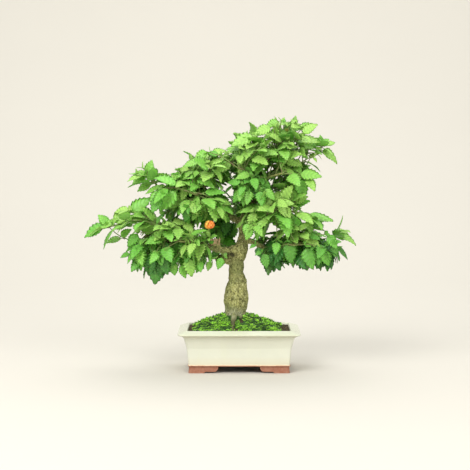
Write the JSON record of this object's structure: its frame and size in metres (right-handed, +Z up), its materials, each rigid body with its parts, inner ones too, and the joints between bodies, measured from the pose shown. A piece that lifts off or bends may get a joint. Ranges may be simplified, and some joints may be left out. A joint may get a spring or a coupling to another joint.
{
  "type": "lantana bonsai",
  "caption": "Bonsai of a flowering shrub: bulging trunk, tiers of toothed leaves and an orange flower head, on a mossy soil mound in a rectangular glazed pot with bracket feet.",
  "frame": {"origin": "on the resting plane, under the middle of the whole tree's bounding box", "axes": "+Z up, +X to the right and -Y to the front as the tree is seen from its front"},
  "size_m": [0.4399, 0.1729, 0.4156],
  "materials": {
    "glaze": "cream gloss glaze, bare terracotta at the feet",
    "soil": "dark crumbly soil",
    "moss": "bright green moss cushions",
    "bark": "rough mottled olive-brown bark",
    "leaf": "soft satin leaves and green shoots",
    "flower": "matte orange petals with a yellow side",
    "bud": "matte green buds",
    "mesh": "black moulded mesh",
    "wire": "soft drawn wire"
  },
  "bodies": {
    "root": {"bud_head_1": "bud", "drain_mesh_left": "mesh", "drain_mesh_right": "mesh", "flower_head": "flower", "flower_stalk": "leaf", "mesh_clip_left": "wire", "mesh_clip_right": "wire", "moss": "moss", "pot": "glaze", "soil": "soil", "spray_back_1": "leaf", "spray_back_2": "leaf", "spray_crown_left_1": "leaf", "spray_crown_left_2": "leaf", "spray_crown_left_3": "leaf", "spray_crown_left_4": "leaf", "spray_crown_right_1": "leaf", "spray_crown_right_2": "leaf", "spray_crown_right_3": "leaf", "spray_crown_top_1": "leaf", "spray_crown_top_2": "leaf", "spray_crown_top_3": "leaf", "spray_crown_top_4": "leaf", "spray_crown_top_5": "leaf", "spray_lower_left_1": "leaf", "spray_lower_left_2": "leaf", "spray_lower_left_3": "leaf", "spray_lower_left_4": "leaf", "spray_lower_left_5": "leaf", "spray_lower_left_6": "leaf", "spray_lower_left_7": "leaf", "spray_lower_right_1": "leaf", "spray_lower_right_2": "leaf", "spray_lower_right_3": "leaf", "spray_lower_right_4": "leaf", "spray_lower_right_5": "leaf", "spray_middle_left_1": "leaf", "spray_middle_left_2": "leaf", "spray_middle_left_3": "leaf", "spray_middle_right_1": "leaf", "spray_middle_right_2": "leaf", "spray_middle_right_3": "leaf", "spray_shoot_far_left": "leaf", "spray_shoot_far_right": "leaf", "spray_shoot_flower": "leaf", "spray_shoot_left_mid": "leaf", "spray_shoot_left_top": "leaf", "spray_shoot_right_mid": "leaf", "spray_shoot_top": "leaf", "spray_shoot_top_right": "leaf", "spray_upper_left_1": "leaf", "spray_upper_left_2": "leaf", "spray_upper_left_3": "leaf", "spray_upper_left_4": "leaf", "spray_upper_left_5": "leaf", "spray_upper_left_6": "leaf", "trunk_and_branches": "bark"}
  },
  "joints": []
}
